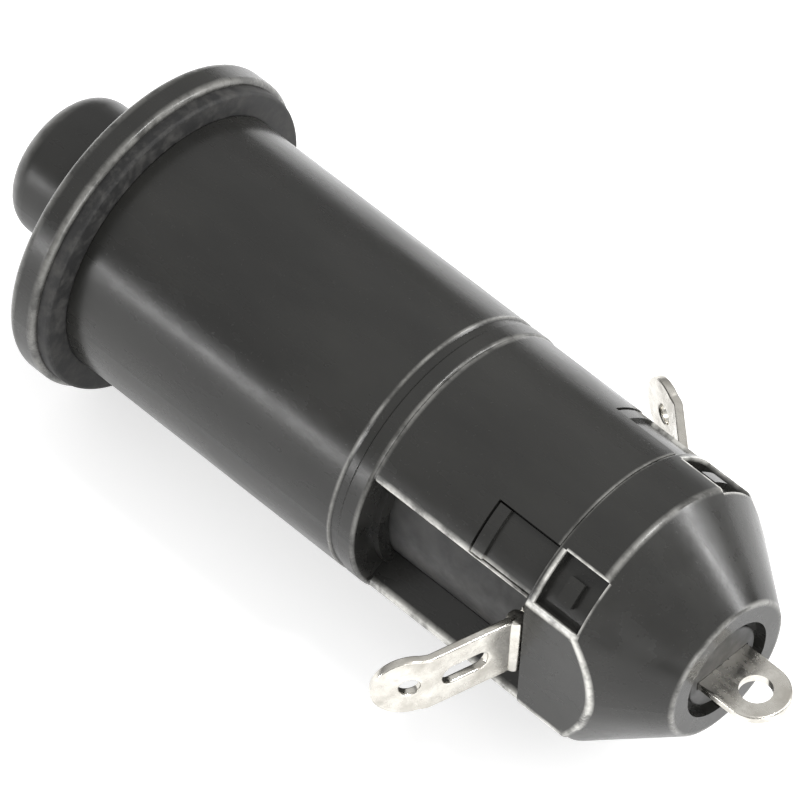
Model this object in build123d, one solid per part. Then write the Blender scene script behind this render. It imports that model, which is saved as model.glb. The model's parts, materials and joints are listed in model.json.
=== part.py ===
"""Panel-mount holder for a 10.3 x 38.1 mm cartridge fuse.

Millimetres. The barrel's axis is +Y: the knob faces -Y, the terminals point to +Y, and +Z is up.
The origin is the centre of the panel plane, where the gasket under the flange meets the panel.
"""

from build123d import *
from math import hypot, radians, sin
import os

# --- driving dimensions -------------------------------------------------------------------------
BODY_R = 12.7  # barrel, which goes through a 1 inch panel hole
REAR_R = 12.55  # housing and nose, a little slimmer so that they follow the barrel through the panel
BORE_R = 9.0
FIT = 0.05  # gap of two fixed parts
RUN = 0.1  # gap of two parts that slide or turn

FLANGE_R = 15.6
FLANGE_T = 3.0
GASKET_T = 1.2
GASKET_R = 15.0
GROOVE_R = 12.45  # relief under the gasket, so the full barrel starts at the panel plane
BARREL_END = 33.4
BARREL_REAR_R = 12.68  # behind the groove
BAND_START = 30.7  # shallow groove round the barrel's rear end
BAND_WIDTH = 0.9
BAND_R = 12.5
HOUSING_END = 50.7
SHOULDER = 55.8
NOSE_END = 63.7
NOSE_R = 6.6
NOSE_FLAT = 10.7  # the nose is flat beside the terminals, this far from the axis

FUSE_R = 5.15
FUSE_LENGTH = 38.1
FUSE_FRONT = 1.8
FUSE_CAP_LENGTH = 10.4
SHEET = 0.8  # thickness of the terminal strip

# --- places that follow from them ---------------------------------------------------------------
FLANGE_BACK = -GASKET_T
FLANGE_FRONT = FLANGE_BACK - FLANGE_T
FUSE_REAR = FUSE_FRONT + FUSE_LENGTH

# mouth of the barrel, where the knob's skirt turns
MOUTH_R = 7.6
MOUTH_END = 9.0
KNOB_SEAT_R = 10.2
KNOB_SEAT_DEPTH = 1.4
BAYONET_OUT_R = 8.7
BAYONET_LUG = (3.2, 5.2)
BAYONET_HALF = 10.0
BAYONET_TURN = 80.0

# knob
GRIP_R = 6.7
GRIP_LENGTH = 10.0
GRIP_ROUND = 2.6
DISC_R = 10.0
SKIRT_R = MOUTH_R - 0.15
SKIRT_END = 9.5
CLIP_SEAT = 0.7
SEAL_GROOVE = (-1.9, -0.6)
SEAL_GROOVE_R = 6.45
SEAL_BEAD = 0.55
CLIP_T = 0.52
CLIP_RIVET_R = 1.2
CLIP_RIVET_START = -5.0

# windows beside the side terminals, and the diagonal snap tongues of the nose
WINDOW_HALF = 32.0
RIB_R = 10.2  # low rib that joins the housing's halves under the windows' front ends
RIB_T = 0.65
TONGUE_ANGLES = (45, 135, 225, 315)
TONGUE_HALF = 11.0
TONGUE_START = 44.2
TONGUE_R = (10.9, 12.1)

# front contact
LEG_R = (7.05, 7.45)
SLEEVE_Y = (10.5, 20.0)
FINGERS = 6

# side terminals: a strip that leaves the housing in front of the nose and bends out and forward
PIVOT_Y = 49.6
PIVOT_R = 10.2
KNUCKLE_R = 0.9
STRIP_HALF = 3.15
STRIP_LENGTH = 8.4
PAD_R = 3.3
PAD_AT = 1.6  # the pad's centre and eye, beyond the bend
EYE_R = 0.9
SLOT_AT = 5.0
SLOT_SIZE = (4.4, 2.0)
PAD_BEND = 20.0
STRIP_ANGLE = {"right": 76.0, "left": 42.0}  # from the front, away from the axis, as bent at rest

# rear contact
GUIDE_R = (5.75, 6.95)
GUIDE_START = FUSE_REAR + 1.8
GUIDE_LIP = 1.0
PLUNGER_R = 5.6
DISC_Y = (56.2, 56.9)
WALL_Y = 57.65
NOSE_RECESS_R = 4.7
NOSE_RECESS = 1.1
BLADE_HALF = 3.0
BLADE_END = 69.9
BLADE_HOLE_R = 1.45
FOOT_T = 0.6  # foot of the end terminal, on the rear contact disc
RIVET_Z = -2.0
RIVET_R = 0.8
RIVET_HEAD_R = 1.5


# --- helpers ------------------------------------------------------------------------------------
def turned(*points):
    """A solid of revolution about Y from (radius, y) points."""
    return revolve(make_face(Polyline(*points, close=True)), Axis.Y)


def tube(inner, outer, start, end):
    if inner > 0:
        return turned((inner, start), (outer, start), (outer, end), (inner, end))
    return turned((0, start), (outer, start), (outer, end), (0, end))


def around(shape, angle):
    """The shape turned about Y, with the angle counted from +X towards +Z."""
    return Rot(0, -angle, 0) * shape


def sector(inner, outer, start, end, angle, half):
    """Part of a tube, half degrees each side of angle."""
    face = make_face(Polyline((inner, start), (outer, start), (outer, end), (inner, end), close=True))
    return around(Rot(0, half, 0) * revolve(face, Axis.Y, revolution_arc=-2 * half), angle)


def block(x, y, z):
    """A box from its lowest and highest corner along each axis."""
    size = [high - low for low, high in (x, y, z)]
    middle = [(high + low) / 2 for low, high in (x, y, z)]
    return Pos(*middle) * Box(*size)


def rounded(solid, radius, y, r, spread=0.02):
    """Rounds the circular edges of the given radius r that lie at the given y."""
    picked = [
        e
        for e in solid.edges().filter_by(GeomType.CIRCLE)
        if abs(e.arc_center.Y - y) < spread and abs(e.radius - r) < spread
    ]
    return fillet(picked, radius)


def eased(sheet, start, across, hole_r):
    """Rounds the outer rim of a flat sheet beyond start along its length, and leaves its hole sharp."""

    def on_rim(edge):
        far = getattr(edge.center(), start[0]) > start[1]
        face = abs(abs(getattr(edge.center(), across)) - SHEET / 2) < 0.01
        hole = edge.geom_type == GeomType.CIRCLE and abs(edge.radius - hole_r) < 0.01
        return far and face and not hole

    return fillet([e for e in sheet.edges() if on_rim(e)], 0.2)


def one(shape):
    """The plain solid inside a boolean result."""
    found = shape.solids()
    return found[0] if len(found) == 1 else Compound(children=list(found))


# --- shells -------------------------------------------------------------------------------------
def make_barrel():
    body = turned(
        (MOUTH_R, FLANGE_FRONT + KNOB_SEAT_DEPTH),
        (KNOB_SEAT_R, FLANGE_FRONT + KNOB_SEAT_DEPTH),
        (KNOB_SEAT_R, FLANGE_FRONT),
        (FLANGE_R, FLANGE_FRONT),
        (FLANGE_R, FLANGE_BACK),
        (GROOVE_R, FLANGE_BACK),
        (GROOVE_R, 0),
        (BODY_R, 0),
        (BODY_R, BAND_START),
        (BAND_R, BAND_START + BODY_R - BAND_R),
        (BAND_R, BAND_START + BAND_WIDTH),
        (BARREL_REAR_R, BAND_START + BAND_WIDTH + BODY_R - BAND_R),
        (BARREL_REAR_R, BARREL_END),
        (BORE_R, BARREL_END),
        (BORE_R, MOUTH_END),
        (MOUTH_R, MOUTH_END),
    )
    body = rounded(body, 0.9, FLANGE_FRONT, FLANGE_R)
    body = rounded(body, 0.5, FLANGE_BACK, FLANGE_R)
    body = rounded(body, 0.35, BARREL_END, BARREL_REAR_R)
    leg = (BAYONET_LUG[0] - 0.2, BAYONET_LUG[1] + 0.2)
    entry_half = BAYONET_HALF + 1.5
    for angle in (90, 270):
        body -= sector(
            MOUTH_R - 0.5, BAYONET_OUT_R, FLANGE_FRONT + KNOB_SEAT_DEPTH - 0.1, leg[1], angle, entry_half
        )
        body -= sector(
            MOUTH_R - 0.5, BAYONET_OUT_R, *leg, angle - BAYONET_TURN / 2, entry_half + BAYONET_TURN / 2
        )
    return body


def make_gasket():
    ring = tube(GROOVE_R + FIT, GASKET_R, FLANGE_BACK, 0)
    ring = rounded(ring, 0.3, 0, GASKET_R)
    return rounded(ring, 0.35, 0, GROOVE_R + FIT)


def make_housing():
    """Middle shell: two long windows beside the terminals, which start at the barrel, and four tongue slots."""
    body = tube(BORE_R, REAR_R, BARREL_END, HOUSING_END)
    for angle in (0, 180):
        body -= sector(RIB_R, REAR_R + 1, BARREL_END - 1, HOUSING_END + 1, angle, WINDOW_HALF)
        body -= sector(BORE_R - 1, RIB_R + 0.5, BARREL_END + RIB_T, HOUSING_END + 1, angle, WINDOW_HALF)
    sills = [
        e
        for e in body.edges().filter_by(GeomType.LINE)
        if abs(hypot(e.center().X, e.center().Z) - REAR_R) < 0.02 and e.length > 10
    ]
    body = fillet(sills, 0.6)
    for angle in TONGUE_ANGLES:
        body -= sector(
            TONGUE_R[0] - RUN, REAR_R + 1, TONGUE_START - 0.2, HOUSING_END + 1, angle, TONGUE_HALF + 0.8
        )
    return body


def make_nose():
    """Rear cap: a collar, a cone, the end wall that carries the end terminal, and four snap tongues."""
    body = turned(
        (0, WALL_Y),
        (BORE_R, WALL_Y),
        (BORE_R, HOUSING_END),
        (REAR_R, HOUSING_END),
        (REAR_R, SHOULDER),
        (NOSE_R, NOSE_END),
        (NOSE_RECESS_R, NOSE_END),
        (NOSE_RECESS_R, NOSE_END - NOSE_RECESS),
        (0, NOSE_END - NOSE_RECESS),
    )
    body = rounded(body, 0.2, HOUSING_END, REAR_R)
    body = rounded(body, 0.45, SHOULDER, REAR_R)
    body = rounded(body, 0.4, NOSE_END, NOSE_R)
    for side in (1, -1):
        body -= block(
            (NOSE_FLAT, 14) if side > 0 else (-14, -NOSE_FLAT), (HOUSING_END - 1, NOSE_END), (-9, 9)
        )
    notch = (HOUSING_END + 0.7, SHOULDER + 0.3)
    for angle in TONGUE_ANGLES:
        body -= sector(REAR_R - 1.0, REAR_R + 1, *notch, angle, TONGUE_HALF + 0.8)
        body += sector(REAR_R - 1.1, REAR_R - 0.4, notch[0] + 1.5, notch[1] - 1.7, angle, TONGUE_HALF / 2)
        body += sector(*TONGUE_R, TONGUE_START, HOUSING_END + 0.3, angle, TONGUE_HALF)
        body += sector(TONGUE_R[1] - 0.1, REAR_R - 0.1, TONGUE_START, TONGUE_START + 1.2, angle, TONGUE_HALF)
    body -= block((-BLADE_HALF - RUN, BLADE_HALF + RUN), (WALL_Y - 1, NOSE_END), (-0.5, 0.5))
    body -= Pos(0, 0, RIVET_Z) * tube(0, RIVET_HEAD_R + 0.3, WALL_Y - 1, WALL_Y + 0.6)
    return body


def make_liner():
    """Insulating tube that ties the shells together and keeps the two contacts apart."""
    body = tube(7.5, BORE_R - FIT, MOUTH_END + 0.2, WALL_Y - 1.65)
    slot = SHEET / 2 + 0.15
    for side in (1, -1):
        body -= block(
            (6.5, 10) if side > 0 else (-10, -6.5),
            (PIVOT_Y - slot, PIVOT_Y + slot),
            (-STRIP_HALF - 0.15, STRIP_HALF + 0.15),
        )
    return body


# --- front contact and side terminals -----------------------------------------------------------
def make_front_contact():
    """Sleeve with inward fingers, and two legs that run back to the feet under the side terminals."""
    body = tube(*LEG_R, *SLEEVE_Y)
    wall = LEG_R[0] + 0.2
    finger = make_face(Polyline((wall, 19.2), (5.8, 14.0), (5.8, 13.4), (6.2, 13.4), (wall, 18.0), close=True))
    swept = revolve(finger, Axis.Y, revolution_arc=18)
    for i in range(FINGERS):
        body += around(swept, 360 / FINGERS * i + 21)
    foot = (PIVOT_Y - SHEET / 2, PIVOT_Y + SHEET / 2)
    for angle in (0, 180):
        leg = tube(*LEG_R, SLEEVE_Y[1] - 0.3, foot[1])
        side = block((LEG_R[0] + 0.15, PIVOT_R - KNUCKLE_R - RUN), foot, (-STRIP_HALF, STRIP_HALF))
        body += around(leg & block((0, 8), (SLEEVE_Y[1] - 1, foot[1] + 1), (-STRIP_HALF, STRIP_HALF)), angle)
        body += around(side, angle)
    return body


def make_side_terminal(angle):
    """One terminal at its bend angle on the +X side: a knuckle, a slotted strip and a round pad."""
    knuckle = Cylinder(KNUCKLE_R, 2 * STRIP_HALF)
    strip = block((0, STRIP_LENGTH), (-SHEET / 2, SHEET / 2), (-STRIP_HALF, STRIP_HALF))
    strip -= Pos(SLOT_AT, 0, 0) * Rot(90, 0, 0) * extrude(SlotOverall(*SLOT_SIZE), SHEET, both=True)
    pad = Pos(PAD_AT, 0, 0) * Rot(90, 0, 0) * Cylinder(PAD_R, SHEET)
    pad += block((-0.1, PAD_AT), (-SHEET / 2, SHEET / 2), (-STRIP_HALF, STRIP_HALF))
    pad &= block((-0.1, 2 * PAD_R), (-SHEET, SHEET), (-PAD_R - 1, PAD_R + 1))
    pad -= Pos(PAD_AT, 0, 0) * Rot(90, 0, 0) * Cylinder(EYE_R, 4)
    pad = eased(pad, ("X", 0.2), "Y", EYE_R)
    joint = Cylinder(SHEET / 2, 2 * STRIP_HALF)
    tip = Pos(STRIP_LENGTH, 0, 0) * (joint + Rot(0, 0, -PAD_BEND) * pad)
    # the strip runs along local +X and its pad bends to local -Y; angle 0 points to the front, -Y
    piece = Rot(0, 0, angle - 90) * (knuckle + strip + tip)
    return Pos(PIVOT_R, PIVOT_Y, 0) * piece


# --- rear contact and end terminal --------------------------------------------------------------
def make_plunger_guide():
    inner, outer = GUIDE_R
    return turned(
        (inner - 0.4, GUIDE_START),
        (outer, GUIDE_START),
        (outer, WALL_Y - 1.55),
        (BORE_R - 2 * FIT, WALL_Y - 1.55),
        (BORE_R - 2 * FIT, DISC_Y[1]),
        (inner, DISC_Y[1]),
        (inner, GUIDE_START + GUIDE_LIP),
        (inner - 0.4, GUIDE_START + GUIDE_LIP),
    )


def make_plunger():
    """Moving rear contact: a cup that the spring presses against the fuse."""
    face = FUSE_REAR + FIT
    shoulder = GUIDE_START + GUIDE_LIP + FIT
    body = turned(
        (0, face),
        (PLUNGER_R - 0.4, face),
        (PLUNGER_R - 0.4, shoulder),
        (PLUNGER_R, shoulder),
        (PLUNGER_R, shoulder + 5.4),
        (PLUNGER_R - 0.7, shoulder + 5.4),
        (PLUNGER_R - 0.7, face + 1.0),
        (0, face + 1.0),
    )
    return rounded(body, 0.4, face, PLUNGER_R - 0.4)


def make_contact_spring():
    wire, mean = 0.45, 4.3
    start = FUSE_REAR + 1.05 + wire
    height = DISC_Y[0] - wire - start
    path = Helix(pitch=height / 6, height=height, radius=mean)
    section = Plane(origin=path @ 0, z_dir=path % 0) * Circle(wire)
    coil = sweep(section, path=path, is_frenet=True)
    return Pos(0, start, 0) * Rot(-90, 0, 0) * coil


def make_end_terminal():
    """Blade through the end wall, with a foot inside that lies on the rear contact disc."""
    blade = block((-BLADE_HALF, BLADE_HALF), (DISC_Y[1] + FIT, BLADE_END - BLADE_HALF), (-SHEET / 2, SHEET / 2))
    blade += Pos(0, BLADE_END - BLADE_HALF, 0) * Cylinder(BLADE_HALF, SHEET)
    blade -= Pos(0, BLADE_END - BLADE_HALF, 0) * Cylinder(BLADE_HOLE_R, 4)
    blade = eased(blade, ("Y", NOSE_END - 1), "Z", BLADE_HOLE_R)
    foot_y = (DISC_Y[1] + FIT, DISC_Y[1] + FIT + FOOT_T)
    foot = block((-BLADE_HALF, BLADE_HALF), foot_y, (RIVET_Z - 1.4, SHEET / 2))
    foot -= Pos(0, 0, RIVET_Z) * tube(0, RIVET_R + FIT, DISC_Y[1] - 1, DISC_Y[1] + 2)
    return blade + foot


def make_contact_disc():
    disc = tube(0, PLUNGER_R, *DISC_Y)
    return disc - Pos(0, 0, RIVET_Z) * tube(0, RIVET_R + FIT, DISC_Y[0] - 1, DISC_Y[1] + 1)


def make_terminal_rivet():
    foot_end = DISC_Y[1] + FIT + FOOT_T
    rivet = tube(0, RIVET_HEAD_R, DISC_Y[0] - 0.5, DISC_Y[0])
    rivet += tube(0, RIVET_R, DISC_Y[0] - 0.1, foot_end + 0.1)
    rivet += tube(0, RIVET_HEAD_R, foot_end, foot_end + 0.45)
    return Pos(0, 0, RIVET_Z) * rivet


def make_terminal_washer():
    floor = NOSE_END - NOSE_RECESS
    washer = tube(0, 3.9, floor, floor + 0.6)
    washer = rounded(washer, 0.2, floor + 0.6, 3.9)
    return washer - block((-BLADE_HALF - FIT, BLADE_HALF + FIT), (floor - 1, floor + 2), (-0.45, 0.45))


# --- fuse ---------------------------------------------------------------------------------------
def make_fuse_tube():
    return tube(3.6, FUSE_R - 0.35, FUSE_FRONT + 0.4, FUSE_REAR - 0.4)


def make_fuse_cap(closed, opened):
    """A ferrule from its closed end to its open end."""
    step = 0.35 if opened > closed else -0.35
    cap = turned(
        (0, closed),
        (FUSE_R, closed),
        (FUSE_R, opened),
        (FUSE_R - 0.3, opened),
        (FUSE_R - 0.3, closed + step),
        (0, closed + step),
    )
    return rounded(cap, 0.5, closed, FUSE_R)


def make_fuse_element():
    """Flat copper link with five necks."""
    link = block((-1.0, 1.0), (FUSE_FRONT + 0.4, FUSE_REAR - 0.4), (-0.1, 0.1))
    middle = (FUSE_FRONT + FUSE_REAR) / 2
    for i in range(-2, 3):
        for side in (1, -1):
            link -= Pos(side * 1.0, middle + 5 * i, 0) * Cylinder(0.7, 1)
    return link


# --- knob ---------------------------------------------------------------------------------------
def make_knob():
    grip_end = FLANGE_FRONT - GRIP_LENGTH
    disc_front = FLANGE_FRONT - 0.4
    disc_back = FLANGE_FRONT + KNOB_SEAT_DEPTH - 0.1
    body = turned(
        (0, grip_end),
        (GRIP_R, grip_end),
        (GRIP_R, disc_front),
        (DISC_R, disc_front),
        (DISC_R, disc_back),
        (SKIRT_R, disc_back),
        (SKIRT_R, SEAL_GROOVE[0]),
        (SEAL_GROOVE_R, SEAL_GROOVE[0]),
        (SEAL_GROOVE_R, SEAL_GROOVE[1]),
        (SKIRT_R, SEAL_GROOVE[1]),
        (SKIRT_R, SKIRT_END),
        (6.35, SKIRT_END),
        (6.35, CLIP_SEAT),
        (0, CLIP_SEAT),
    )
    body = rounded(body, GRIP_ROUND, grip_end, GRIP_R)
    body = rounded(body, 0.8, disc_front, GRIP_R)
    body = rounded(body, 0.5, disc_front, DISC_R)
    body -= tube(0, CLIP_RIVET_R + FIT, CLIP_RIVET_START - 0.2, CLIP_SEAT + 1)
    for angle in (90, 270):
        body += sector(SKIRT_R - 0.4, BAYONET_OUT_R - 0.2, *BAYONET_LUG, angle, BAYONET_HALF)
    return body


def make_knob_seal():
    middle = sum(SEAL_GROOVE) / 2
    return Pos(0, middle, 0) * Rot(90, 0, 0) * Torus(MOUTH_R - 0.02 - SEAL_BEAD, SEAL_BEAD)


def make_fuse_clip():
    """Tulip clip on the knob: its fingers hold the fuse's front cap and touch the front contact."""
    inner, outer = FUSE_R + RUN, FUSE_R + 0.5
    body = tube(CLIP_RIVET_R + FIT, outer, CLIP_SEAT + 0.02, CLIP_SEAT + CLIP_T)
    body += tube(inner, outer, CLIP_SEAT + 0.3, 15.0)
    for i in range(3):
        slit = block((-8, 8), (CLIP_SEAT + 2.0, 16), (-0.4, 0.4))
        body -= around(slit, 60 * i)
    return body


def make_clip_rivet():
    seat = CLIP_SEAT + CLIP_T
    return tube(0, 2.2, seat, seat + 0.5) + tube(0, CLIP_RIVET_R, CLIP_RIVET_START, seat + 0.1)


# --- export -------------------------------------------------------------------------------------
def mirrored(shape):
    """The -X twin of a +X piece that is symmetric about Z = 0."""
    return Rot(0, 180, 0) * shape


def main():
    parts = {
        "barrel": make_barrel(),
        "panel_gasket": make_gasket(),
        "contact_housing": make_housing(),
        "nose_cap": make_nose(),
        "inner_liner": make_liner(),
        "front_contact": make_front_contact(),
        "side_terminal_right": make_side_terminal(STRIP_ANGLE["right"]),
        "side_terminal_left": mirrored(make_side_terminal(STRIP_ANGLE["left"])),
        "plunger_guide": make_plunger_guide(),
        "rear_plunger": make_plunger(),
        "contact_spring": make_contact_spring(),
        "rear_contact_disc": make_contact_disc(),
        "end_terminal": make_end_terminal(),
        "end_terminal_rivet": make_terminal_rivet(),
        "end_terminal_washer": make_terminal_washer(),
        "fuse_tube": make_fuse_tube(),
        "fuse_cap_front": make_fuse_cap(FUSE_FRONT, FUSE_FRONT + FUSE_CAP_LENGTH),
        "fuse_cap_rear": make_fuse_cap(FUSE_REAR, FUSE_REAR - FUSE_CAP_LENGTH),
        "fuse_element": make_fuse_element(),
        "knob": make_knob(),
        "knob_seal": make_knob_seal(),
        "fuse_clip": make_fuse_clip(),
        "clip_rivet": make_clip_rivet(),
    }
    os.makedirs("parts", exist_ok=True)
    for name, shape in parts.items():
        export_step(one(shape), f"parts/{name}.step")
    reach = PIVOT_R + STRIP_LENGTH * sin(radians(STRIP_ANGLE["right"]))
    print(f"{len(parts)} parts; right terminal's bend is {reach:.2f} mm from the axis")


main()
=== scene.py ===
"""Looks of the cartridge fuse holder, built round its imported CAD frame. Metres, with MM for millimetres."""

import json
import math

import bmesh
import bpy
from mathutils import Matrix, Vector


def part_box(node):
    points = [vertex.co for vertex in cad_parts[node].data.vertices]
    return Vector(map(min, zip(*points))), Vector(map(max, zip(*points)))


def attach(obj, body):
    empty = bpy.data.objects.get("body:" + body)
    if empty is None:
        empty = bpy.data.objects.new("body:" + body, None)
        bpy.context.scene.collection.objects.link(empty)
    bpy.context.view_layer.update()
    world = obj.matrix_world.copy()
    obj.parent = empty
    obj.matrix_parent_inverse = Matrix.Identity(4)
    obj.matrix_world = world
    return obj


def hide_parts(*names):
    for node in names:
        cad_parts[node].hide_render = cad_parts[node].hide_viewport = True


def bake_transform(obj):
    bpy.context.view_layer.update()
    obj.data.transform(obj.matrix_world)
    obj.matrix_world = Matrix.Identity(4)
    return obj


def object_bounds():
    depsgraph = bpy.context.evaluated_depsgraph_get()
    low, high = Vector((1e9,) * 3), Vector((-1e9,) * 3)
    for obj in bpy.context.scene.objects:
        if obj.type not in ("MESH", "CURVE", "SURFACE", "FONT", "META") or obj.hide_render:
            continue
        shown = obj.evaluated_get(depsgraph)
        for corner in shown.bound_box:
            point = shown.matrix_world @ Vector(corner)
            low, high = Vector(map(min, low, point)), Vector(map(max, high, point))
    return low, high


MM = 0.001

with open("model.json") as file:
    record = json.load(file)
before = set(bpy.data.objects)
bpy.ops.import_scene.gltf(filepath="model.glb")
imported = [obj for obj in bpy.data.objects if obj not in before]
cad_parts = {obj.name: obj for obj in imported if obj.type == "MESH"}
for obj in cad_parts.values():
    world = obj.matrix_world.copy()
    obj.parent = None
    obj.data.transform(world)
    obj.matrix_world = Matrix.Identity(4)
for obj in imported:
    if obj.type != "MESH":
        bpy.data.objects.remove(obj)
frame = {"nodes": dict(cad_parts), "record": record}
CAD_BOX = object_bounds()
NODES = frame["nodes"]


# --- shader helpers -----------------------------------------------------------------------------
class Shader:
    """A small builder round one material's node tree. Texture sizes are in millimetres."""

    def __init__(self, name):
        self.material = bpy.data.materials.new(name)
        self.material.use_nodes = True
        self.tree = self.material.node_tree
        self.bsdf = self.tree.nodes["Principled BSDF"]
        coords = self.tree.nodes.new("ShaderNodeTexCoord")
        self.coords = coords.outputs["Object"]

    def link(self, a, b):
        self.tree.links.new(a, b)

    def set(self, **values):
        for key, value in values.items():
            self.bsdf.inputs[key.replace("_", " ")].default_value = value

    def scaled(self, x, y, z):
        """Object coordinates, with one texture unit every x, y and z millimetres."""
        node = self.tree.nodes.new("ShaderNodeMapping")
        node.inputs["Scale"].default_value = (1 / (x * MM), 1 / (y * MM), 1 / (z * MM))
        self.link(self.coords, node.inputs["Vector"])
        return node.outputs["Vector"]

    def noise(self, size, detail=3.0, rough=0.5, stretch=(1, 1, 1)):
        node = self.tree.nodes.new("ShaderNodeTexNoise")
        node.inputs["Scale"].default_value = 1.0
        node.inputs["Detail"].default_value = detail
        node.inputs["Roughness"].default_value = rough
        self.link(self.scaled(*(size * s for s in stretch)), node.inputs["Vector"])
        return node.outputs["Fac"]

    def span(self, value, low, high, to_low, to_high):
        node = self.tree.nodes.new("ShaderNodeMapRange")
        node.inputs["From Min"].default_value = low
        node.inputs["From Max"].default_value = high
        node.inputs["To Min"].default_value = to_low
        node.inputs["To Max"].default_value = to_high
        self.link(value, node.inputs["Value"])
        return node.outputs["Result"]

    def math(self, kind, a, b):
        node = self.tree.nodes.new("ShaderNodeMath")
        node.operation = kind
        for socket, value in zip(node.inputs, (a, b)):
            if isinstance(value, (int, float)):
                socket.default_value = value
            else:
                self.link(value, socket)
        return node.outputs[0]

    def mix(self, factor, a, b):
        """Colour a where factor is 0 and b where it is 1."""
        node = self.tree.nodes.new("ShaderNodeMix")
        node.data_type = "RGBA"
        self.link(factor, node.inputs["Factor"])
        colour_in = [s for s in node.inputs if s.type == "RGBA"]
        for socket, value in zip(colour_in, (a, b)):
            if isinstance(value, tuple):
                socket.default_value = (*value, 1.0)
            else:
                self.link(value, socket)
        return [s for s in node.outputs if s.type == "RGBA"][0]

    def across(self):
        """Distance from the barrel's axis, place along it, and the absolute X and Z, all in mm."""
        split = self.tree.nodes.new("ShaderNodeSeparateXYZ")
        self.link(self.scaled(1, 1, 1), split.inputs["Vector"])
        x, y, z = split.outputs
        square = self.math("ADD", self.math("MULTIPLY", x, x), self.math("MULTIPLY", z, z))
        radius = self.math("SQRT", square, 0.0)
        return radius, y, self.math("ABSOLUTE", x, 0.0), self.math("ABSOLUTE", z, 0.0)

    def near(self, a, a_at, b, b_at, width):
        """1 within width mm of the point where a is a_at and b is b_at, fading to 0 at twice the width."""
        da, db = self.math("SUBTRACT", a, a_at), self.math("SUBTRACT", b, b_at)
        square = self.math("ADD", self.math("MULTIPLY", da, da), self.math("MULTIPLY", db, db))
        return self.span(self.math("SQRT", square, 0.0), width * 0.4, width * 2, 1.0, 0.0)

    def between(self, value, low, high):
        above = self.math("GREATER_THAN", value, low)
        return self.math("MULTIPLY", above, self.math("LESS_THAN", value, high))

    def bump(self, height, depth, strength, under=None):
        """Bump of a height 0 to 1 as depth millimetres."""
        node = self.tree.nodes.new("ShaderNodeBump")
        node.inputs["Strength"].default_value = strength
        node.inputs["Distance"].default_value = depth * MM
        self.link(height, node.inputs["Height"])
        if under is not None:
            self.link(under, node.inputs["Normal"])
        return node.outputs["Normal"]

    def finish(self, colour=None, roughness=None, normal=None):
        for name, value in (("Base Color", colour), ("Roughness", roughness), ("Normal", normal)):
            if value is not None:
                self.link(value, self.bsdf.inputs[name])
        return self.material


# circular edges that get a painted highlight, as (radius, place along the axis, width) in mm
HIGHLIGHT_RINGS = [
    (15.6, -4.2, 0.5),
    (15.6, -1.2, 0.35),
    (12.7, 30.7, 0.12),
    (12.68, 33.4, 0.2),
    (12.55, 50.7, 0.13),
    (12.55, 55.8, 0.22),
    (6.6, 63.7, 0.2),
    (6.7, -14.2, 1.0),
]
# long edges over the terminals, on the housing and on the nose's flats, that get a painted highlight, as (x,
# z, start, end, width) in mm
HIGHLIGHT_SILLS = [(10.4, 6.71, 33.6, 50.6, 0.36), (10.67, 6.58, 50.8, 56.3, 0.26)]
# latch windows of the nose, as (lowest and highest degrees round from X, start, end) in degrees and mm
LATCH_WINDOW = (33.2, 56.8, 51.4, 56.1)
# widths in mm of the painted highlights along the latch windows' edges and the nose's arches
LATCH_HIGHLIGHT_WIDTH = 0.13
ARCH_HIGHLIGHT_WIDTH = 0.16
RING_HIGHLIGHT_STRENGTH = 0.28  # the rings' painted highlights are fainter than the sills'
FLAT_X = 10.7
CONE = (12.55, 55.8, 6.6, 63.7)  # the nose's cone, from radius and place to radius and place


def painted_edge_highlights(s):
    """Mask of painted highlights: 1 on the shell's exposed edges, broken up by noise."""
    radius, y, x, z = s.across()
    edge_highlight = 0.0
    for sill_x, sill_z, start, end, width in HIGHLIGHT_SILLS:
        line = s.math("MULTIPLY", s.near(x, sill_x, z, sill_z, width), s.between(y, start, end))
        edge_highlight = s.math("MAXIMUM", edge_highlight, line)
    low, high, start, end = LATCH_WINDOW
    turn = s.math("MULTIPLY", s.math("ARCTAN2", z, x), 180 / math.pi)
    per_degree = CONE[0] * math.pi / 180
    girth = s.math("MULTIPLY", turn, per_degree)
    for angle in (low, high):
        side = s.near(girth, angle * per_degree, radius, CONE[0], LATCH_HIGHLIGHT_WIDTH)
        edge_highlight = s.math("MAXIMUM", edge_highlight, s.math("MULTIPLY", side, s.between(y, start, end)))
    for place in (start, end):
        side = s.near(y, place, radius, CONE[0], LATCH_HIGHLIGHT_WIDTH * 1.6)
        edge_highlight = s.math("MAXIMUM", edge_highlight, s.math("MULTIPLY", side, s.between(turn, low, high)))
    slope = (CONE[2] - CONE[0]) / (CONE[3] - CONE[1])
    cone = s.math("MULTIPLY_ADD", y, slope)
    cone.node.inputs[2].default_value = CONE[0] - slope * CONE[1]
    arch = s.near(x, FLAT_X, s.math("SUBTRACT", radius, cone), 0.0, ARCH_HIGHLIGHT_WIDTH)
    edge_highlight = s.math("MAXIMUM", edge_highlight, s.math("MULTIPLY", arch, s.math("GREATER_THAN", y, CONE[1])))
    for ring_r, ring_y, width in HIGHLIGHT_RINGS:
        ring = s.math("MULTIPLY", s.near(radius, ring_r, y, ring_y, width), RING_HIGHLIGHT_STRENGTH)
        edge_highlight = s.math("MAXIMUM", edge_highlight, ring)
    # noise breaks the painted highlights into patches
    broken = s.span(s.noise(2.2, 4.0, 0.65), 0.38, 0.58, 0.25, 1.0)
    return s.math("MULTIPLY", edge_highlight, broken)


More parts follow.
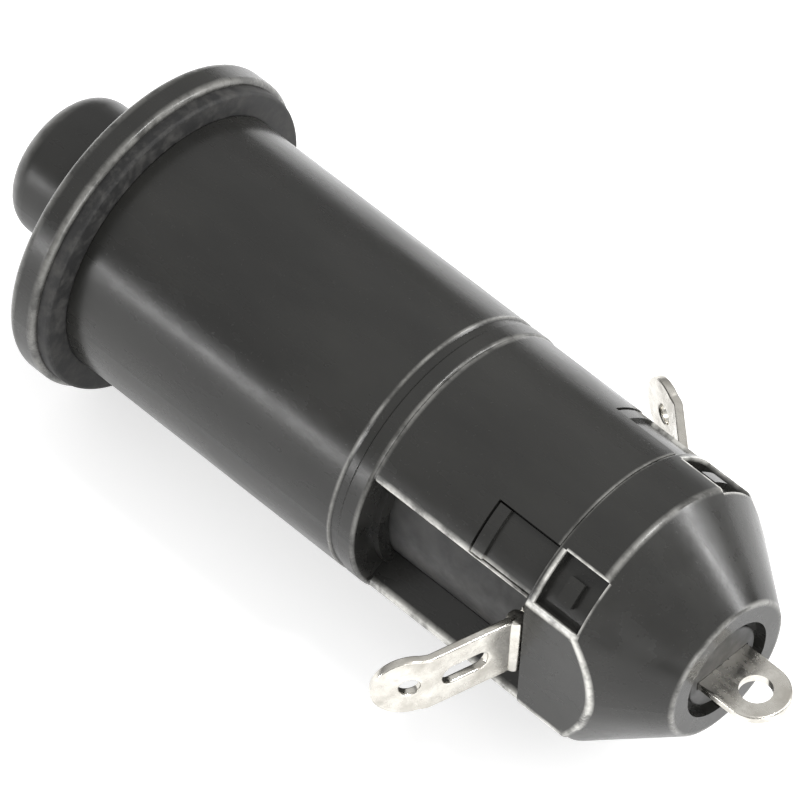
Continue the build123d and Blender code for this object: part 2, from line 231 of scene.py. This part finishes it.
def moulded_black(name, tone=0.016, gloss=0.2):
    """Glossy black phenolic: faint flow marks, dusty blush, painted near-white highlights along its edges and
    an orange-peel skin.
    """
    s = Shader(name)
    s.set(Specular_IOR_Level=0.36, IOR=1.5)
    blush = s.span(s.noise(9.0, 4.0, 0.6, (1, 2.5, 1)), 0.35, 0.75, 0.0, 1.0)
    flecks = s.span(s.noise(0.5, 5.0, 0.7), 0.62, 0.75, 0.0, 1.0)
    base = s.mix(blush, (tone, tone * 0.99, tone * 0.92), (tone * 1.6, tone * 1.58, tone * 1.44))
    base = s.mix(s.math("MULTIPLY", flecks, 0.25), base, (0.05, 0.05, 0.046))
    edge_highlight = painted_edge_highlights(s)
    # painted highlight: near-white mixed into the colour along the exposed edges
    base = s.mix(s.math("MULTIPLY", edge_highlight, 0.9), base, (0.7, 0.69, 0.65))
    smear = s.noise(3.5, 4.0, 0.65, (1, 3, 1))
    rough = s.math("ADD", s.span(smear, 0.3, 0.7, gloss, gloss + 0.14), s.span(flecks, 0, 1, 0, 0.12))
    skin = s.bump(s.noise(0.9, 2.0, 0.5), 0.012, 0.5)
    grain = s.bump(s.noise(0.16, 3.0, 0.6), 0.003, 0.5, skin)
    return s.finish(base, rough, grain)


def satin_black(name):
    """Dull insulating moulding inside the shell."""
    s = Shader(name)
    s.set(Specular_IOR_Level=0.4)
    cloud = s.span(s.noise(2.5, 4.0, 0.6), 0.3, 0.7, 0.0, 1.0)
    base = s.mix(cloud, (0.014, 0.014, 0.014), (0.034, 0.033, 0.031))
    rough = s.span(s.noise(1.2, 3.0), 0.3, 0.7, 0.42, 0.62)
    return s.finish(base, rough, s.bump(s.noise(0.25, 3.0, 0.6), 0.008, 0.6))


def rubber(name):
    s = Shader(name)
    s.set(Specular_IOR_Level=0.3)
    dust = s.span(s.noise(1.6, 5.0, 0.7), 0.45, 0.8, 0.0, 1.0)
    base = s.mix(dust, (0.016, 0.016, 0.016), (0.07, 0.068, 0.064))
    return s.finish(base, s.span(dust, 0, 1, 0.6, 0.85), s.bump(s.noise(0.2, 3.0, 0.65), 0.012, 0.7))


def plated(name, colour, dull, low=0.12, high=0.32, streak=(1, 1, 1)):
    """Tin or nickel plate: cloudy tarnish, rolling streaks and a slightly uneven surface."""
    s = Shader(name)
    s.set(Metallic=1.0, Coat_Weight=0.05, Coat_Roughness=0.3)
    cloud = s.span(s.noise(2.2, 4.0, 0.6), 0.38, 0.72, 0.0, 1.0)
    base = s.mix(cloud, colour, dull)
    lines = s.noise(0.5, 3.0, 0.6, streak)
    base = s.mix(s.span(lines, 0.55, 0.8, 0.0, 0.35), base, tuple(c * 0.7 for c in dull))
    rough = s.math("ADD", s.span(cloud, 0, 1, low, high), s.span(lines, 0.4, 0.7, 0, 0.08))
    waves = s.bump(s.noise(1.8, 2.0, 0.5), 0.03, 0.35)
    return s.finish(base, rough, s.bump(lines, 0.006, 0.5, waves))


def ceramic(name):
    s = Shader(name)
    s.set(Coat_Weight=0.6, Coat_Roughness=0.08)
    stain = s.span(s.noise(2.4, 5.0, 0.6), 0.45, 0.8, 0.0, 1.0)
    base = s.mix(stain, (0.82, 0.8, 0.74), (0.66, 0.62, 0.53))
    return s.finish(base, s.span(stain, 0, 1, 0.25, 0.45), s.bump(s.noise(0.3, 3.0), 0.01, 0.4))


def drawn_wire(name):
    s = Shader(name)
    s.set(Metallic=1.0)
    oil = s.span(s.noise(0.9, 4.0, 0.6), 0.35, 0.7, 0.0, 1.0)
    base = s.mix(oil, (0.56, 0.56, 0.55), (0.36, 0.34, 0.31))
    return s.finish(base, s.span(oil, 0, 1, 0.22, 0.42), s.bump(s.noise(0.12, 2.0), 0.004, 0.5))


TIN = ((0.66, 0.64, 0.59), (0.42, 0.4, 0.36))
NICKEL = ((0.76, 0.73, 0.66), (0.52, 0.49, 0.43))
MATERIALS = {
    "black_shell": moulded_black("black_shell"),
    "black_knob": moulded_black("black_knob", 0.015, 0.24),
    "liner": satin_black("liner"),
    "gasket": rubber("gasket"),
    "tinned_brass": plated("tinned_brass", *TIN, 0.16, 0.34, (1, 4, 1)),
    "nickel_brass": plated("nickel_brass", *NICKEL, 0.14, 0.3),
    "fuse_caps": plated("fuse_caps", *NICKEL, 0.1, 0.26, (1, 6, 1)),
    "copper": plated("copper", (0.8, 0.45, 0.3), (0.45, 0.26, 0.19), 0.2, 0.4),
    "ceramic": ceramic("ceramic"),
    "spring_steel": drawn_wire("spring_steel"),
}
for part in frame["record"]["subparts"]:
    node = NODES[part["node"]]
    node.data.materials.clear()
    node.data.materials.append(MATERIALS[part["material_slot"]])


# --- side terminals -----------------------------------------------------------------------------
PIVOT = Vector((10.2, 49.6, 0)) * MM
STRIP_HALF = 3.15
BEND_AT = 8.4
BEND_R = 1.6
PAD_AT = 1.6  # the pad's centre and eye, beyond the bend
PAD_R = 3.26
PAD_BEND = 20.0
EYE_R = 0.9
SLOT_AT, SLOT_LENGTH, SLOT_R = 5.0, 4.4, 1.0
SHEET = 0.8
KNUCKLE_R = 0.9
EDGE_ROUND = 0.17
CUTS = 60  # rows that the flat sheet is cut into before it is bent
STRIP_ANGLES = {"right": 76.0, "left": 42.0}


def arc(centre, radius, start, end, steps):
    """Points on an arc, in degrees from the strip's own direction."""
    out = []
    for i in range(steps + 1):
        a = math.radians(start + (end - start) * i / steps)
        out.append((centre + radius * math.cos(a), radius * math.sin(a)))
    return out


def terminal_outline():
    """The flat terminal: a strip with a round end, a slot and an eye. Lengths in mm."""
    pad_centre = BEND_AT + PAD_AT
    meet = 180 - math.degrees(math.asin(STRIP_HALF / PAD_R))
    outer = [(0.0, STRIP_HALF)] + arc(pad_centre, PAD_R, meet, -meet, 48) + [(0.0, -STRIP_HALF)]
    half = SLOT_LENGTH / 2 - SLOT_R
    slot = arc(SLOT_AT + half, SLOT_R, -90, 90, 12) + arc(SLOT_AT - half, SLOT_R, 90, 270, 12)
    eye = arc(pad_centre, EYE_R, 0, 352.5, 47)
    return [outer, slot, eye]


def flat_sheet(name, loops):
    """A sheet with rounded rims, from closed outlines in mm; the first is the outside."""
    curve = bpy.data.curves.new(name, "CURVE")
    curve.dimensions = "2D"
    curve.fill_mode = "BOTH"
    curve.extrude = (SHEET / 2 - EDGE_ROUND) * MM
    curve.bevel_depth = EDGE_ROUND * MM
    curve.bevel_resolution = 3
    curve.offset = -EDGE_ROUND * MM
    for points in loops:
        spline = curve.splines.new("POLY")
        spline.points.add(len(points) - 1)
        spline.use_cyclic_u = True
        for point, (u, w) in zip(spline.points, points):
            point.co = (u * MM, w * MM, 0, 1)
    holder = bpy.data.objects.new(name, curve)
    bpy.context.scene.collection.objects.link(holder)
    bpy.context.view_layer.update()
    evaluated = holder.evaluated_get(bpy.context.evaluated_depsgraph_get())
    mesh = bpy.data.meshes.new_from_object(evaluated)
    bpy.data.objects.remove(holder)
    bpy.data.curves.remove(curve)
    return mesh


def along_strip(u, w, t, angle):
    """A point of the flat terminal after bending, in metres: u along, w across, t through the sheet."""
    half = math.radians(PAD_BEND) / 2
    run = BEND_R * math.tan(half)
    start = BEND_AT - run
    length = BEND_R * 2 * half
    if u <= start:
        x, y, turn = u, 0.0, 0.0
    elif u <= start + length:
        turn = (u - start) / BEND_R
        x, y = start + BEND_R * math.sin(turn), -BEND_R * (1 - math.cos(turn))
    else:
        turn = 2 * half
        rest = u - start - length
        x = start + BEND_R * math.sin(turn) + rest * math.cos(turn)
        y = -BEND_R * (1 - math.cos(turn)) - rest * math.sin(turn)
    x, y = x + t * math.sin(turn), y + t * math.cos(turn)
    a = math.radians(angle - 90)
    return Vector((x * math.cos(a) - y * math.sin(a), x * math.sin(a) + y * math.cos(a), w)) * MM


def knuckle_rings(bm, radius, half):
    """A rounded pin across the strip's root, with soft ends."""
    profile = [(0.0, -half), (radius - 0.25, -half), (radius - 0.08, -half + 0.08), (radius, -half + 0.25)]
    profile += [(r, -z) for r, z in reversed(profile)]
    count = 40
    rings = []
    for r, z in profile:
        if r == 0:
            rings.append([bm.verts.new((0, 0, z * MM))])
            continue
        turns = [2 * math.pi * i / count for i in range(count)]
        rings.append([bm.verts.new((r * math.cos(a) * MM, r * math.sin(a) * MM, z * MM)) for a in turns])
    for low, high in zip(rings, rings[1:]):
        for i in range(count):
            j = (i + 1) % count
            if len(low) == 1:
                bm.faces.new((low[0], high[j], high[i]))
            elif len(high) == 1:
                bm.faces.new((low[i], low[j], high[0]))
            else:
                bm.faces.new((low[i], low[j], high[j], high[i]))


def smooth_shade(mesh, degrees=38):
    for face in mesh.polygons:
        face.use_smooth = True
    mesh.set_sharp_from_angle(angle=math.radians(degrees))


def make_side_terminal(side):
    sign = 1 if side == "right" else -1
    mesh = flat_sheet(f"terminal_sheet_{side}", terminal_outline())
    bm = bmesh.new()
    bm.from_mesh(mesh)
    bmesh.ops.remove_doubles(bm, verts=bm.verts, dist=1e-6)
    reach = BEND_AT + PAD_AT + PAD_R
    for i in range(1, CUTS):
        cut = Vector((reach * i / CUTS * MM, 0, 0))
        bmesh.ops.bisect_plane(
            bm, geom=bm.verts[:] + bm.edges[:] + bm.faces[:], plane_co=cut, plane_no=(1, 0, 0), dist=1e-7
        )
    for vert in bm.verts:
        u, w, t = (c / MM for c in vert.co)
        vert.co = along_strip(u, w, t, STRIP_ANGLES[side])
    knuckle_rings(bm, KNUCKLE_R, STRIP_HALF)
    for vert in bm.verts:
        vert.co = Vector(((PIVOT.x + vert.co.x) * sign, PIVOT.y + vert.co.y, vert.co.z * sign))
    bmesh.ops.recalc_face_normals(bm, faces=bm.faces)
    bm.to_mesh(mesh)
    bm.free()
    smooth_shade(mesh)
    mesh.materials.clear()
    mesh.materials.append(MATERIALS["tinned_brass"])
    terminal = bpy.data.objects.new(f"terminal_sheet_{side}", mesh)
    bpy.context.scene.collection.objects.link(terminal)
    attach(terminal, f"terminal_{side}")
    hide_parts(f"side_terminal_{side}")


for name in STRIP_ANGLES:
    make_side_terminal(name)


# --- contact spring -----------------------------------------------------------------------------
WIRE_R = 0.45
COIL_R = 4.3
COIL_STEPS = 420
WIRE_SIDES = 14
LIVE_TURNS = 5.0
DEAD_TURNS = 0.9  # closed turns at each end
SPRING_SLOT = 0.06  # clearance from the faces that the spring sits on


def make_contact_spring():
    """Compression spring with closed ends, drawn at the CAD spring's length; the mesh does not shorten with
    the plunger.
    """
    low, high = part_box("contact_spring")
    first, last = low.y / MM + WIRE_R + SPRING_SLOT, high.y / MM - WIRE_R - SPRING_SLOT
    closed = DEAD_TURNS * 2.02 * WIRE_R
    live = last - first - 2 * closed
    turns = LIVE_TURNS + 2 * DEAD_TURNS
    path = []
    for i in range(COIL_STEPS + 1):
        t = turns * i / COIL_STEPS
        if t < DEAD_TURNS:
            y = first + closed * t / DEAD_TURNS
        elif t < turns - DEAD_TURNS:
            y = first + closed + live * (t - DEAD_TURNS) / LIVE_TURNS
        else:
            y = last - closed * (turns - t) / DEAD_TURNS
        a = 2 * math.pi * t
        path.append(Vector((COIL_R * math.cos(a), y, COIL_R * math.sin(a))))
    bm = bmesh.new()
    rings = []
    for i, point in enumerate(path):
        ahead = (path[min(i + 1, COIL_STEPS)] - path[max(i - 1, 0)]).normalized()
        out = Vector((point.x, 0, point.z)).normalized()
        side = ahead.cross(out).normalized()
        out = side.cross(ahead)
        turned = [2 * math.pi * k / WIRE_SIDES for k in range(WIRE_SIDES)]
        ring = [point + (out * math.cos(a) + side * math.sin(a)) * WIRE_R for a in turned]
        rings.append([bm.verts.new(v * MM) for v in ring])
    for one, two in zip(rings, rings[1:]):
        for k in range(WIRE_SIDES):
            m = (k + 1) % WIRE_SIDES
            bm.faces.new((one[k], one[m], two[m], two[k]))
    bm.faces.new(rings[0])
    bm.faces.new(rings[-1])
    bmesh.ops.recalc_face_normals(bm, faces=bm.faces)
    mesh = bpy.data.meshes.new("spring_coil")
    bm.to_mesh(mesh)
    bm.free()
    smooth_shade(mesh, 50)
    mesh.materials.append(MATERIALS["spring_steel"])
    spring = bpy.data.objects.new("spring_coil", mesh)
    bpy.context.scene.collection.objects.link(spring)
    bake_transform(spring)
    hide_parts("contact_spring")


make_contact_spring()


# --- camera, floor and lights -------------------------------------------------------------------
AZIMUTH = 131.3
ELEVATION = 50.2
ROLL = 3.6
DISTANCE = 700 * MM
LENS = 379.35  # mm
SENSOR = 36  # mm
TARGET = Vector((0, 30 * MM, 0))
AIM_LEFT = 2.4 * MM
AIM_UP = 3.3 * MM
FLOOR_HALF = 3.0  # m
FLOOR_GAP = 0.2 * MM


def view_axes():
    a, e, r = (math.radians(v) for v in (AZIMUTH, ELEVATION, ROLL))
    back = Vector((math.sin(a) * math.cos(e), -math.cos(a) * math.cos(e), math.sin(e)))
    right = Vector((0, 0, 1)).cross(back).normalized()
    up = back.cross(right)
    return back, right * math.cos(r) + up * math.sin(r), up * math.cos(r) - right * math.sin(r)


def make_camera():
    back, right, up = view_axes()
    data = bpy.data.cameras.new("camera")
    data.lens = LENS
    data.sensor_width = SENSOR
    data.clip_start = 10 * MM
    data.clip_end = 50
    camera = bpy.data.objects.new("camera", data)
    place = TARGET - right * AIM_LEFT + up * AIM_UP + back * DISTANCE
    facing = Matrix((right, up, back)).transposed().to_4x4()
    camera.matrix_world = Matrix.Translation(place) @ facing
    bpy.context.scene.collection.objects.link(camera)
    bpy.context.scene.camera = camera


def make_floor():
    mesh = bpy.data.meshes.new("floor")
    half = FLOOR_HALF
    drop = CAD_BOX[0].z - FLOOR_GAP
    corners = [(-half, -half, drop), (half, -half, drop), (half, half, drop), (-half, half, drop)]
    mesh.from_pydata(corners, [], [(0, 1, 2, 3)])
    floor = bpy.data.objects.new("floor", mesh)
    shader = Shader("floor")
    shader.set(Base_Color=(0.82, 0.82, 0.82, 1), Roughness=0.9, Specular_IOR_Level=0.1)
    shader.set(Emission_Color=(1, 1, 1, 1), Emission_Strength=0.54)
    mesh.materials.append(shader.finish())
    bpy.context.scene.collection.objects.link(floor)


def area_light(name, direction, distance, size, power, colour=(1, 1, 1)):
    """A soft rectangular lamp at a direction from the part, aimed at it."""
    data = bpy.data.lights.new(name, "AREA")
    data.shape = "RECTANGLE"
    data.size, data.size_y = size
    data.energy = power
    data.color = colour
    lamp = bpy.data.objects.new(name, data)
    way = Vector(direction).normalized()
    lamp.location = TARGET + way * distance
    lamp.rotation_mode = "QUATERNION"
    lamp.rotation_quaternion = (-way).to_track_quat("-Z", "Y")
    bpy.context.scene.collection.objects.link(lamp)


def make_world():
    """White studio that is brighter overhead and darker round the sides, so that metal shows its shape."""
    world = bpy.data.worlds.new("studio")
    world.use_nodes = True
    tree = world.node_tree
    coords = tree.nodes.new("ShaderNodeTexCoord")
    split = tree.nodes.new("ShaderNodeSeparateXYZ")
    ramp = tree.nodes.new("ShaderNodeMapRange")
    ramp.interpolation_type = "SMOOTHSTEP"
    for socket, value in (("From Min", 0.0), ("From Max", 0.75), ("To Min", 0.22), ("To Max", 0.85)):
        ramp.inputs[socket].default_value = value
    tree.links.new(coords.outputs["Generated"], split.inputs["Vector"])
    tree.links.new(split.outputs["Z"], ramp.inputs["Value"])
    tree.links.new(ramp.outputs["Result"], tree.nodes["Background"].inputs["Strength"])
    tree.nodes["Background"].inputs["Color"].default_value = (1, 1, 1, 1)
    bpy.context.scene.world = world


def make_lights():
    area_light("key", (-0.25, 0.35, 1.0), 0.5, (0.2, 0.04), 1.4)
    area_light("rim", (-0.9, 0.75, 0.55), 0.5, (0.03, 0.3), 1.2)
    area_light("sill", (0.9, -0.42, 0.1), 0.5, (0.3, 0.03), 0.7)
    area_light("rear", (0.35, 1.0, 0.12), 0.5, (0.25, 0.04), 0.9)


bpy.context.scene.view_settings.view_transform = "Standard"
make_camera()
make_floor()
make_world()
make_lights()
